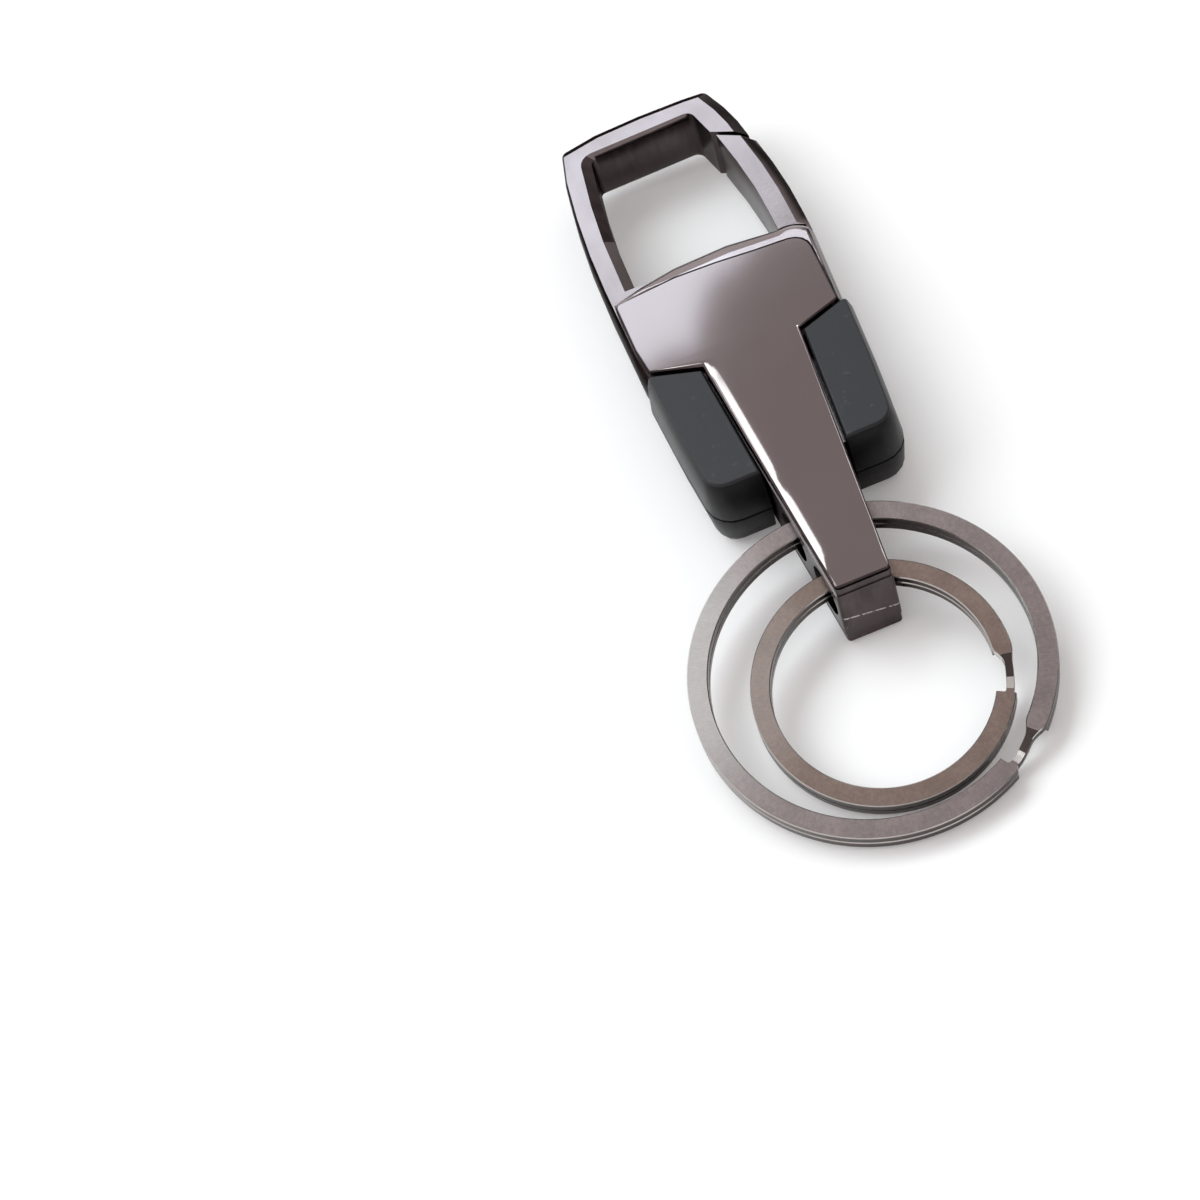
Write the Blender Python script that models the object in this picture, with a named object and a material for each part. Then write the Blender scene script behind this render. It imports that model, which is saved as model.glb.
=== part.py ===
"""Key tag: a sprung hook on a tapered body, inlaid covers, moulded grips and two split rings.

Metres. In the tag's own frame x runs to the gate side, y from the tail end to the
hook and z from the mid plane to the front. The part's origin is the middle of the
back cover's flat face.
"""

import math

import bmesh
import bpy
from mathutils import Matrix, Vector

# Overall sizes
tag_length = 0.06575
half_width = 0.01105
body_half_thickness = 0.00492
hook_half_thickness = 0.0034

# Places along the tag as shares of its length, and widths as shares of the half width
crossbar_share = 0.66312
shoulder_share = 0.48517
origin_share = 0.31939
grip_bottom_share = 0.24335
large_hole_share = 0.1597
small_hole_share = 0.05323
shoulder_width_share = 0.9502
tail_width_share = 0.2624
grip_bottom_width_share = 0.8507
stem_flare_share = 0.077
grip_flare_share = 0.0667

# Hook section
wall_height_share = 0.8088
left_bevel = 0.00025
top_bevel = 0.001
inner_bevel = 0.0011
under_bevel = 0.00045
nose_bevel = 0.0012
crossbar_bevel = 0.00015
side_bevel = 0.0002
knuckle_bevel = 0.00015
wall_bulge = 0.00015
hook_corner_radius = 0.0008
opening_corner_radius = 0.0008

# Hinge of the gate
hinge_inset = 0.00275
hinge_drop = 0.0034
knuckle_radius = 0.00345
gate_gap = 0.0003
pin_radius = 0.0007
pin_setback = 0.00032
pin_clearance = 0.0002
lug_radius = 0.002
lug_half_thickness = 0.0013
lug_clearance = 0.0003
neck_half_width = 0.0012
neck_rise = 0.0046
slot_inner_run = 0.0028
gate_corner_radius = 0.0005

# Spring behind the gate
spring_drop = 0.0017
spring_radius = 0.0008
spring_wire_radius = 0.0002
spring_setback = 0.0065
spring_length = 0.0038
spring_clearance = 0.0003
spring_turns = 5
spring_points_per_turn = 12

# Body
rim_height_shares = (0.0, 0.69, 0.868, 0.954)
rim_root = 0.0004
rim_inset = 0.0001
side_inset = 0.00025
bar_insets = (0.0002, 0.0005, 0.001, 0.0018)
flank_insets = (0.00025, 0.00045, 0.0006, 0.0009)
knuckle_insets = (0.0002, 0.0007, 0.001, 0.0015)
rim_corner_radius = 0.0005
notch_fall = 0.0018
notch_radius = 0.0003
tail_corner_radius = 0.0004
side_bulge = 0.0002

# Covers
cover_thickness = 0.0011
cover_seam = 0.0001
cover_undercut = 0.0003
seat_gap = 0.0003
cover_edge = 0.00012
cover_rim = 0.0001
cover_side_rim = 0.00027
cover_left_radius = 0.0006
cover_right_radius = 0.002
post_radius = 0.0009
post_depth = 0.0018
post_clearance = 0.0002
cover_shoulder_share = 0.877
post_places_shares = ((-0.59, 0.87), (0.0, 0.6), (0.45, 0.79))

# Grips and the ears inside them
grip_gap = 0.0002
stem_gap = 0.00051
grip_seam = 0.0003
grip_height_share = 0.9858
grip_waist_share = 0.7317
grip_edge = 0.00018
grip_edge_height = 0.00025
grip_outer_bulges = (0.00085, 0.0005)
grip_end_bulges = (0.00135, 0.00075)
grip_side_bow = 0.00013
grip_corner_radius = 0.0018
ear_half_thickness = 0.0018
ear_margin = 0.0014
ear_gap = 0.0003
ear_root = 0.001
peg_radius = 0.0009
peg_reach = 0.0014
peg_clearance = 0.0003
peg_rise_shares = (0.28, 0.78)

# Split rings
hole_radius = 0.0026
ring_lift = 0.00015
large_ring_radius = 0.0165
large_wire_width = 0.002
small_wire_width = 0.0019
wire_thickness = 0.001
ring_nest_gap = 0.00095
turn_gap = 0.0001
neck_width_share = 0.45
ring_floor_gap = 0.0001
large_ring_yaw = math.radians(8.0)
small_ring_yaw = math.radians(9.6)
large_ring_start = math.radians(-58.0)
small_ring_start = math.radians(-25.0)
large_ring_crossing = math.radians(18.0)
small_ring_crossing = math.radians(24.0)
ring_step = math.radians(9.0)
crossing_steps = 6

# Finish of the meshes
corner_steps = 4
knuckle_steps = 6
round_sides = 32
small_round_sides = 20
least_radius = 0.0001
cut_overrun = 0.001
smooth_angle = math.radians(32.0)

# Outline of the hook: shares of the half width, and of the height from crossbar to top
left_side_shares = ((-0.986, -0.38), (-0.999, 0.06), (-0.991, 0.29), (-0.959, 0.528), (-0.905, 0.758))
left_corner_shares = (-0.8145, 0.957)
top_shares = ((-0.4525, 0.991), (0.0, 1.0), (0.4525, 0.9955))
right_corner_shares = (0.676, 0.986)
nose_shares = ((0.778, 0.853), (0.837, 0.74))
nose_end_outer_shares = (0.869, 0.632)
nose_end_inner_shares = (0.5475, 0.7155)
inner_right_shares = (0.472, 0.862)
inner_left_shares = (-0.59, 0.852)
inner_side_shares = ((-0.67, 0.56), (-0.706, 0.334), (-0.715, 0.018))
crossbar_shares = ((-0.452, 0.014), (0.0, 0.0225))
rim_top_shares = ((0.2, 0.0225), (-0.33, 0.0135), (-0.68, -0.018))
rim_corner_shares = (-0.986, -0.06)
cover_right_corner_shares = (0.896, -0.1174)
cover_top_shares = ((0.407, -0.1007), (0.03, -0.0822), (-0.362, -0.0736))
cover_left_corner_shares = (-0.9634, -0.097)

# Outline of the gate, in the same shares
gate_tip_inner_shares = (0.5865, 0.684)
gate_inner_shares = ((0.6516, 0.492), (0.697, 0.289), (0.7105, 0.108))
gate_outer_shares = ((1.0, 0.063), (0.991, 0.244), (0.959, 0.424))
gate_tip_outer_shares = (0.9095, 0.588)

# Places worked out from the sizes above
crossbar_y = tag_length * crossbar_share
shoulder_y = tag_length * shoulder_share
origin_y = tag_length * origin_share
grip_bottom_y = tag_length * grip_bottom_share
large_hole_y = tag_length * large_hole_share
small_hole_y = tag_length * small_hole_share
ring_nest = large_hole_y - small_hole_y + (small_wire_width + large_wire_width) / 2.0 + ring_nest_gap
small_ring_radius = large_ring_radius - ring_nest / 2.0
shoulder_half_width = half_width * shoulder_width_share
tail_half_width = half_width * tail_width_share
grip_bottom_half_width = half_width * grip_bottom_width_share
hook_height = tag_length - crossbar_y
hinge_x = half_width - hinge_inset
hinge_y = crossbar_y - hinge_drop
gate_end_radius = knuckle_radius + gate_gap
spring_seat_x = hinge_x - spring_setback
wall_half_thickness = hook_half_thickness * wall_height_share
grip_half_thickness = body_half_thickness * grip_height_share
grip_waist_height = body_half_thickness * grip_waist_share
pocket_floor = body_half_thickness - cover_thickness - seat_gap
pin_half_length = pocket_floor - pin_setback
notch_inner_y = shoulder_y - notch_fall
stem_half_width = tail_half_width + stem_flare_share * notch_inner_y
grip_inner_x = tail_half_width + stem_gap
edge_kinds = ("outer", "top", "inner", "under", "nose", "bar", "cut", "knuckle", "side", "flank", "end")
straight = dict.fromkeys(edge_kinds, 0.0)


def hook_point(share):
    """A place on the hook from its shares of the half width and the hook's height."""
    return half_width * share[0], crossbar_y + hook_height * share[1]


def corner(place, kind, radius=0.0):
    """An outline corner: where it is, its radius and the kind of the edge after it."""
    return place[0], place[1], radius, kind


def hinge_arc(radius, first_angle, last_angle, kind):
    """Outline points on a circle round the hinge."""
    corners = []
    for step in range(knuckle_steps + 1):
        angle = first_angle + (last_angle - first_angle) * step / knuckle_steps
        place = (hinge_x + radius * math.cos(angle), hinge_y + radius * math.sin(angle))
        corners.append(corner(place, kind))
    return corners


def angle_at_side(radius):
    """Angle on a circle round the hinge where it meets the tag's side."""
    return math.acos(min(hinge_inset / radius, 1.0))


def moved_corners(corners, offsets):
    """The corners after each edge has moved out by the offset of its kind."""
    count = len(corners)
    places = [Vector(each[:2]) for each in corners]
    area = sum(places[i - 1].cross(places[i]) for i in range(count))
    turn = 1.0 if area > 0.0 else -1.0
    edges = []
    for i in range(count):
        along = (places[(i + 1) % count] - places[i]).normalized()
        outward = Vector((along.y, -along.x)) * turn
        edges.append((along, outward, offsets[corners[i][3]]))
    moved = []
    for i in range(count):
        (along_a, out_a, off_a), (along_b, out_b, off_b) = edges[i - 1], edges[i]
        bend = along_a.cross(along_b)
        convex = bend * turn > 0.0
        if abs(bend) > math.sin(smooth_angle) / 2.0:
            start_a = places[i] + out_a * off_a
            start_b = places[i] + out_b * off_b
            place = start_a + along_a * ((start_b - start_a).cross(along_b) / bend)
        else:
            middle = (out_a + out_b).normalized()
            place = places[i] + middle * ((off_a + off_b) / 2.0 / middle.dot(out_a))
        grown = (off_a + off_b) / 2.0 * (1.0 if convex else -1.0)
        moved.append((place, corners[i][2], grown))
    return moved


def outline(corners, offsets):
    """Points of the outline with its corners rounded, as many at every offset."""
    moved = moved_corners(corners, offsets)
    points = []
    for i, (place, radius, grown) in enumerate(moved):
        if radius == 0.0:
            points.append(place)
            continue
        before = moved[i - 1][0] - place
        after = moved[(i + 1) % len(moved)][0] - place
        half_turn = (math.pi - before.angle(after)) / 2.0
        room = min(before.length, after.length) / 2.0
        fillet = min(max(radius + grown, least_radius), room / math.tan(half_turn))
        middle = (before.normalized() + after.normalized()).normalized()
        centre = place + middle * (fillet / math.cos(half_turn))
        spoke = before.normalized() * (fillet * math.tan(half_turn)) - middle * (fillet / math.cos(half_turn))
        turn = 1.0 if before.cross(after) < 0.0 else -1.0
        for step in range(corner_steps + 1):
            angle = turn * 2.0 * half_turn * step / corner_steps
            cosine, sine = math.cos(angle), math.sin(angle)
            turned = Vector((spoke.x * cosine - spoke.y * sine, spoke.x * sine + spoke.y * cosine))
            points.append(centre + turned)
    return points


def linked(name, mesh, collection, place=(0.0, 0.0, 0.0)):
    """A new object for the mesh, at its place in the tag's frame."""
    made = bpy.data.objects.new(name, mesh)
    collection.objects.link(made)
    made.parent = tag
    made.location = place
    return made


def as_helper(made):
    made.hide_render = True
    made.display_type = "WIRE"
    return made


def finished(name, bm, collection, place=(0.0, 0.0, 0.0)):
    """The object of a finished bmesh, its faces outward and its round faces smooth."""
    bmesh.ops.recalc_face_normals(bm, faces=bm.faces)
    mesh = bpy.data.meshes.new(name)
    bm.to_mesh(mesh)
    bm.free()
    mesh.shade_smooth()
    mesh.set_sharp_from_angle(angle=smooth_angle)
    made = linked(name, mesh, collection, place)
    return as_helper(made) if collection == helpers else made


def slab(name, corners, levels, collection, place=(0.0, 0.0, 0.0)):
    """A solid through the outline, moved out at each height as its level says."""
    bm = bmesh.new()
    first = cap = None
    for height, moves in levels:
        lift = Vector((0.0, 0.0, height)) - Vector(place)
        points = [point.to_3d() + lift for point in outline(corners, moves)]
        if first is None:
            first = cap = bm.faces.new([bm.verts.new(point) for point in points])
            continue
        extruded = bmesh.ops.extrude_face_region(bm, geom=[cap])["geom"]
        inner, cap = cap, next(each for each in extruded if isinstance(each, bmesh.types.BMFace))
        if inner != first:
            bmesh.ops.delete(bm, geom=[inner], context="FACES_ONLY")
        for vert, point in zip(cap.verts, points):
            vert.co = point
    sides = [face for face in bm.faces if face not in (first, cap)]
    bmesh.ops.triangulate(bm, faces=sides)
    return finished(name, bm, collection, place)


def rod(name, radius, start, end, sides, collection, place=(0.0, 0.0, 0.0)):
    """A cylinder between two points."""
    start = Vector(start)
    along = Vector(end) - start
    bm = bmesh.new()
    bmesh.ops.create_cone(
        bm, cap_ends=True, segments=sides, radius1=radius, radius2=radius, depth=along.length
    )
    turn = Vector((0.0, 0.0, 1.0)).rotation_difference(along).to_matrix()
    bmesh.ops.rotate(bm, verts=bm.verts, matrix=turn @ Matrix.Rotation(math.pi / sides, 3, "Z"))
    bmesh.ops.translate(bm, verts=bm.verts, vec=start + along / 2.0 - Vector(place))
    return finished(name, bm, collection, place)


def combine(made, operation, others):
    """Booleans on the object, one for each of the others."""
    for other in others:
        modifier = made.modifiers.new(other.name, "BOOLEAN")
        modifier.operation = operation
        modifier.object = other


def mirrored(corners):
    """The same outline on the other side of the tag."""
    kinds = [each[3] for each in corners]
    flipped = []
    for i in range(len(corners) - 1, -1, -1):
        flipped.append((-corners[i][0], corners[i][1], corners[i][2], kinds[i - 1]))
    return flipped


def material(name, colour, metallic, roughness):
    made = bpy.data.materials.new(name)
    made.use_nodes = True
    shader = made.node_tree.nodes["Principled BSDF"]
    shader.inputs["Base Color"].default_value = (*colour, 1.0)
    shader.inputs["Metallic"].default_value = metallic
    shader.inputs["Roughness"].default_value = roughness
    return made


def offsets(**changed):
    """Offset of every kind of edge, zero where it isn't given."""
    return {**straight, **changed}


def both_ways(levels):
    """Levels for a solid that is alike on both sides of the mid plane."""
    below = [(-height, moves) for height, moves in reversed(levels) if height > 0.0]
    return below + list(levels)


def spun(bm, end, centre, angle, steps, move):
    """The face at the far end of a turn about the ring's axis."""
    about = (0.0, 0.0, 1.0)
    turned = bmesh.ops.spin(bm, geom=end, cent=centre, axis=about, dvec=move, angle=-angle, steps=steps)
    if len(end[0].edges[0].link_faces) > 2:
        bmesh.ops.delete(bm, geom=end, context="FACES_ONLY")
    return [each for each in turned["geom_last"] if isinstance(each, bmesh.types.BMFace)]


def split_ring(name, radius, width, yaw, start, crossing, hole_y):
    """Two turns of flat wire; the origin is in the middle of its hole and the x axis is its hinge."""
    centre = Vector((-math.sin(yaw / 2.0), -math.cos(yaw / 2.0), 0.0)) * (radius - ring_lift)
    pitch = wire_thickness + turn_gap
    top = turn_gap / 2.0 + wire_thickness
    half = width / 2.0
    section = ((-half, top - wire_thickness), (half, top - wire_thickness), (half, top), (-half, top))
    spoke = Vector((math.cos(start), math.sin(start), 0.0))
    bm = bmesh.new()
    corners = [centre + spoke * (radius + across) + Vector((0.0, 0.0, height)) for across, height in section]
    end = [bm.faces.new([bm.verts.new(place) for place in corners])]
    full_turn = 2.0 * math.pi - crossing
    steps = round(full_turn / ring_step)
    end = spun(bm, end, centre, full_turn, steps, (0.0, 0.0, 0.0))
    for step in range(crossing_steps):
        end = spun(bm, end, centre, crossing / crossing_steps, 1, (0.0, 0.0, -pitch / crossing_steps))
        narrowing = (1.0 - neck_width_share) * math.sin(math.pi * (step + 1) / crossing_steps)
        for vert in end[0].verts:
            outward = Vector((vert.co.x - centre.x, vert.co.y - centre.y, 0.0))
            across = math.copysign(half * (1.0 - narrowing), outward.length - radius)
            vert.co += outward.normalized() * (radius + across - outward.length)
    spun(bm, end, centre, full_turn, steps, (0.0, 0.0, 0.0))
    made = finished(name, bm, parts, (0.0, hole_y, 0.0))
    drop = body_half_thickness - ring_floor_gap - pitch
    made.rotation_euler = (math.asin(drop / (radius - ring_lift + radius + half)), 0.0, -yaw / 2.0)
    return made


# Scene
for old in list(bpy.data.objects):
    bpy.data.objects.remove(old)
parts = bpy.data.collections.new("key_tag")
helpers = bpy.data.collections.new("key_tag_cutters")
bpy.context.scene.collection.children.link(parts)
bpy.context.scene.collection.children.link(helpers)
tag = bpy.data.objects.new("key_tag_frame", None)
tag.location = (0.0, -origin_y, body_half_thickness)
parts.objects.link(tag)

# Casting: its silhouette at hook thickness
knuckle = hinge_arc(knuckle_radius, angle_at_side(knuckle_radius), math.radians(104.0), "knuckle")
knuckle[-1] = corner(knuckle[-1], "bar")
left_side = [corner(hook_point(share), "outer") for share in reversed(left_side_shares)]
left_side[-1] = corner(left_side[-1], "side")
body_right = [
    corner((tail_half_width, 0.0), "cut", tail_corner_radius),
    corner((stem_half_width, notch_inner_y), "cut"),
    corner((shoulder_half_width, shoulder_y), "flank", notch_radius),
    *knuckle,
]
body_left = [
    left_side[-1],
    corner((-shoulder_half_width, shoulder_y), "cut", notch_radius),
    corner((-stem_half_width, notch_inner_y), "cut"),
    corner((-tail_half_width, 0.0), "cut", tail_corner_radius),
]
silhouette = [
    *body_right,
    *(corner(hook_point(share), "bar") for share in reversed(crossbar_shares)),
    *(corner(hook_point(share), "inner") for share in reversed(inner_side_shares)),
    corner(hook_point(inner_left_shares), "under", opening_corner_radius),
    corner(hook_point(inner_right_shares), "cut", opening_corner_radius),
    corner(hook_point(nose_end_inner_shares), "cut"),
    corner(hook_point(nose_end_outer_shares), "nose"),
    *(corner(hook_point(share), "nose") for share in reversed(nose_shares)),
    corner(hook_point(right_corner_shares), "top", hook_corner_radius),
    *(corner(hook_point(share), "top") for share in reversed(top_shares)),
    corner(hook_point(left_corner_shares), "outer", hook_corner_radius),
    *left_side[:-1],
    *body_left,
]
bulged = offsets(outer=wall_bulge, top=wall_bulge, inner=wall_bulge, under=wall_bulge, nose=wall_bulge)
bulged.update(side=side_bulge, flank=side_bulge)
flat = offsets(outer=-left_bevel, top=-top_bevel, inner=-inner_bevel, under=-under_bevel)
flat.update(nose=-nose_bevel, bar=-crossbar_bevel)
flat.update(side=-side_bevel, flank=-side_bevel, knuckle=-knuckle_bevel)
hook_levels = [(0.0, bulged), (wall_half_thickness, straight), (hook_half_thickness, flat)]
hook_frame = slab("hook_frame", silhouette, both_ways(hook_levels), parts)

# Casting: raised body on both faces
body = [
    *body_right,
    *(corner(hook_point(share), "bar") for share in rim_top_shares),
    corner(hook_point(rim_corner_shares), "side", rim_corner_radius),
    *body_left,
]
body_rise = body_half_thickness - hook_half_thickness
rim_heights = [hook_half_thickness + body_rise * share for share in rim_height_shares]
raised_levels = []
for height, bar, flank, bend in zip(rim_heights, bar_insets, flank_insets, knuckle_insets):
    moves = offsets(bar=-bar, flank=-flank, knuckle=-bend, side=-side_inset, cut=-rim_inset)
    raised_levels.append((height, moves))
raised_levels.insert(0, (hook_half_thickness - rim_root, raised_levels[0][1]))
for name, face in (("front", 1.0), ("back", -1.0)):
    levels = [(face * height, moves) for height, moves in raised_levels]
    combine(hook_frame, "UNION", [slab("raised_body_" + name, body, levels, helpers)])

# Grips: half solids that close round an ear of the casting
grip_rise = shoulder_y - grip_bottom_y
grip_top_inner = (grip_inner_x + grip_flare_share * (notch_inner_y - grip_gap), notch_inner_y - grip_gap)
grip_top_outer = (shoulder_half_width, shoulder_y - grip_gap)
grip_middle_x = (grip_bottom_half_width + shoulder_half_width) / 2.0 + grip_side_bow
grip_middle = (grip_middle_x, (grip_bottom_y + shoulder_y) / 2.0)
grip_outline = [
    corner((grip_inner_x + grip_flare_share * grip_bottom_y, grip_bottom_y), "end"),
    corner((grip_bottom_half_width, grip_bottom_y), "outer", grip_corner_radius),
    corner(grip_middle, "outer"),
    corner(grip_top_outer, "inner", notch_radius),
    corner(grip_top_inner, "inner"),
]
grip_levels = [
    (grip_seam / 2.0, offsets(outer=grip_outer_bulges[0], end=grip_end_bulges[0])),
    (grip_waist_height, offsets(outer=grip_outer_bulges[1], end=grip_end_bulges[1])),
    (grip_half_thickness - grip_edge_height, offsets(outer=grip_edge, end=grip_edge)),
    (grip_half_thickness, offsets(inner=-grip_edge)),
]
ear_outline = [
    corner((ear_root, grip_bottom_y + ear_margin), "cut"),
    corner((grip_bottom_half_width - ear_margin, grip_bottom_y + ear_margin), "cut", ear_margin),
    corner((shoulder_half_width - ear_margin, shoulder_y + ear_root), "cut"),
    corner((ear_root, shoulder_y + ear_root), "cut"),
]
peg_places = []
for share in peg_rise_shares:
    peg_y = grip_bottom_y + grip_rise * share
    peg_places.append((grip_inner_x + grip_flare_share * peg_y + peg_radius + ear_margin, peg_y))
recess_top = ear_half_thickness + ear_gap
socket_end = recess_top + peg_reach + peg_clearance
for side_name, side in (("left", -1.0), ("right", 1.0)):
    ear_side = ear_outline if side > 0.0 else mirrored(ear_outline)
    grip_side = grip_outline if side > 0.0 else mirrored(grip_outline)
    ear_levels = [(-ear_half_thickness, straight), (ear_half_thickness, straight)]
    combine(hook_frame, "UNION", [slab("ear_" + side_name, ear_side, ear_levels, helpers)])
    wide = {kind: ear_gap for kind in straight}
    recess = slab("ear_room_" + side_name, ear_side, [(-recess_top, wide), (recess_top, wide)], helpers)
    for face_name, face in (("front", 1.0), ("back", -1.0)):
        levels = [(face * height, moves) for height, moves in grip_levels]
        grip = slab("grip_%s_%s" % (side_name, face_name), grip_side, levels, parts)
        combine(grip, "DIFFERENCE", [recess])
    for number, (peg_x, peg_y) in enumerate(peg_places):
        label = "%s_%d" % (side_name, number)
        spot = (side * peg_x, peg_y)
        start = (*spot, recess_top + peg_reach)
        end = (*spot, -recess_top - peg_reach)
        peg = rod("peg_" + label, peg_radius, start, end, small_round_sides, helpers)
        hole_ends = (*spot, recess_top), (*spot, -socket_end)
        hole = rod("peg_room_" + label, peg_radius + peg_clearance, *hole_ends, small_round_sides, helpers)
        combine(hook_frame, "DIFFERENCE", [hole])
        combine(bpy.data.objects["grip_%s_front" % side_name], "UNION", [peg])
        combine(bpy.data.objects["grip_%s_back" % side_name], "DIFFERENCE", [hole])

# Covers, let into pockets on both faces and held by posts
right_shoulder_x = stem_half_width + (shoulder_half_width - stem_half_width) * cover_shoulder_share
right_shoulder_y = notch_inner_y + notch_fall * cover_shoulder_share + cover_rim
left_side_x = left_side[-1][0] + cover_side_rim
cover_outline = [
    corner((-tail_half_width + cover_rim, cover_rim), "cut", tail_corner_radius),
    corner((tail_half_width - cover_rim, cover_rim), "cut", tail_corner_radius),
    corner((stem_half_width - cover_rim, notch_inner_y + cover_rim), "cut"),
    corner((right_shoulder_x, right_shoulder_y), "cut", notch_radius),
    corner(hook_point(cover_right_corner_shares), "cut", cover_right_radius),
    *(corner(hook_point(share), "cut") for share in cover_top_shares),
    corner(hook_point(cover_left_corner_shares), "cut", cover_left_radius),
    corner((left_side_x, left_side[-1][1]), "cut"),
    corner((-shoulder_half_width + cover_side_rim, shoulder_y + cover_rim), "cut", notch_radius),
    corner((-stem_half_width + cover_rim, notch_inner_y + cover_rim), "cut"),
]
seam_offset = offsets(cut=cover_seam)
floor_offset = offsets(cut=cover_seam - cover_undercut)
under_offset = offsets(cut=-cover_undercut)
edge_offset = offsets(cut=-cover_edge)
for name, face in (("front", 1.0), ("back", -1.0)):
    underside = body_half_thickness - cover_thickness
    cover_levels = [
        (face * underside, under_offset),
        (face * (body_half_thickness - cover_edge), straight),
        (face * body_half_thickness, edge_offset),
    ]
    cover = slab(name + "_cover", cover_outline, cover_levels, parts)
    pocket_levels = [
        (face * pocket_floor, floor_offset),
        (face * (body_half_thickness - cover_edge), seam_offset),
        (face * (body_half_thickness + cut_overrun), seam_offset),
    ]
    combine(hook_frame, "DIFFERENCE", [slab("pocket_" + name, cover_outline, pocket_levels, helpers)])
    for number, (share_x, share_y) in enumerate(post_places_shares):
        spot = (half_width * share_x, crossbar_y * share_y)
        top = (*spot, face * (underside + cover_thickness / 2.0))
        label = "%s_%d" % (name, number)
        post_end = (*spot, face * (underside - post_depth))
        post = rod("post_" + label, post_radius, top, post_end, small_round_sides, helpers)
        combine(cover, "UNION", [post])
        room_top = (*spot, face * (pocket_floor + cover_thickness))
        room_end = (*spot, face * (underside - post_depth - post_clearance))
        room_radius = post_radius + post_clearance
        room = rod("post_room_" + label, room_radius, room_top, room_end, small_round_sides, helpers)
        combine(hook_frame, "DIFFERENCE", [room])

# Hinge: slot, pin hole and spring bore in the casting
hinge = (hinge_x, hinge_y, 0.0)
slot_half = lug_half_thickness + lug_clearance
neck_top = hinge_y + neck_rise
slot_reach = neck_half_width + lug_clearance
slot_radius = lug_radius + lug_clearance
slot_outline = [
    *hinge_arc(slot_radius, -math.pi, math.acos(slot_reach / slot_radius), "cut"),
    corner((hinge_x + slot_reach, neck_top), "cut"),
    corner((hinge_x - slot_inner_run, neck_top), "cut"),
    corner((hinge_x - slot_inner_run, hinge_y), "cut"),
]
slot_levels = [(-slot_half, straight), (slot_half, straight)]
slot = slab("lug_slot", slot_outline, slot_levels, helpers)
hole_top = (hinge_x, hinge_y, pocket_floor + cut_overrun)
hole_bottom = (hinge_x, hinge_y, -pocket_floor - cut_overrun)
pin_hole = rod("pin_hole", pin_radius + pin_clearance, hole_top, hole_bottom, small_round_sides, helpers)
spring_y = hinge_y + spring_drop
bore_radius = spring_radius + spring_wire_radius + spring_clearance
bore_start = (spring_seat_x - spring_clearance, spring_y, 0.0)
bore = rod("spring_bore", bore_radius, bore_start, (hinge_x, spring_y, 0.0), small_round_sides, helpers)
combine(hook_frame, "DIFFERENCE", [slot, pin_hole, bore])

# Cross holes of the rings
for name, hole_y in (("large", large_hole_y), ("small", small_hole_y)):
    ends = (-half_width, hole_y, 0.0), (half_width, hole_y, 0.0)
    combine(hook_frame, "DIFFERENCE", [rod(name + "_ring_hole", hole_radius, *ends, round_sides, helpers)])

# Gate, with its lug in the slot
gate_end = hinge_arc(gate_end_radius, angle_at_side(gate_end_radius), math.radians(97.0), "cut")
gate_end.reverse()
gate_outline = [
    corner(gate_end[0], "cut"),
    *gate_end[1:-1],
    corner(gate_end[-1], "nose"),
    *(corner(hook_point(share), "nose") for share in gate_outer_shares),
    corner(hook_point(gate_tip_outer_shares), "cut", gate_corner_radius),
    corner(hook_point(gate_tip_inner_shares), "cut"),
    *(corner(hook_point(share), "cut") for share in gate_inner_shares),
]
gate_flat = offsets(nose=-nose_bevel)
gate_bulged = offsets(nose=wall_bulge)
gate_levels = [(0.0, gate_bulged), (wall_half_thickness, straight), (hook_half_thickness, gate_flat)]
gate = slab("gate", gate_outline, both_ways(gate_levels), parts, hinge)
lug = hinge_arc(lug_radius, math.radians(127.0), math.radians(413.0), "cut")
lug_outline = [
    *lug,
    corner((hinge_x + neck_half_width, neck_top), "cut"),
    corner((hinge_x - neck_half_width, neck_top), "cut"),
]
lug_levels = [(-lug_half_thickness, straight), (lug_half_thickness, straight)]
combine(gate, "UNION", [slab("gate_lug", lug_outline, lug_levels, helpers)])
combine(gate, "DIFFERENCE", [pin_hole])
pin_ends = (hinge_x, hinge_y, -pin_half_length), (hinge_x, hinge_y, pin_half_length)
gate_pin = rod("gate_pin", pin_radius, *pin_ends, small_round_sides, parts, hinge)

# Spring behind the gate
coil = bpy.data.curves.new("gate_spring", "CURVE")
coil.dimensions = "3D"
coil.bevel_depth = spring_wire_radius
coil.bevel_resolution = 1
coil.use_fill_caps = True
count = spring_turns * spring_points_per_turn + 1
wire = coil.splines.new("POLY")
wire.points.add(count - 1)
for i in range(count):
    turn = 2.0 * math.pi * i / spring_points_per_turn
    along = spring_length * i / (count - 1)
    wire.points[i].co = (along, spring_radius * math.cos(turn), spring_radius * math.sin(turn), 1.0)
gate_spring = linked("gate_spring", coil, parts, (spring_seat_x + spring_wire_radius, spring_y, 0.0))

# Split rings
large_turn = (large_ring_yaw, large_ring_start, large_ring_crossing)
small_turn = (small_ring_yaw, small_ring_start, small_ring_crossing)
large_ring = split_ring("large_ring", large_ring_radius, large_wire_width, *large_turn, large_hole_y)
small_ring = split_ring("small_ring", small_ring_radius, small_wire_width, *small_turn, small_hole_y)

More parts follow.
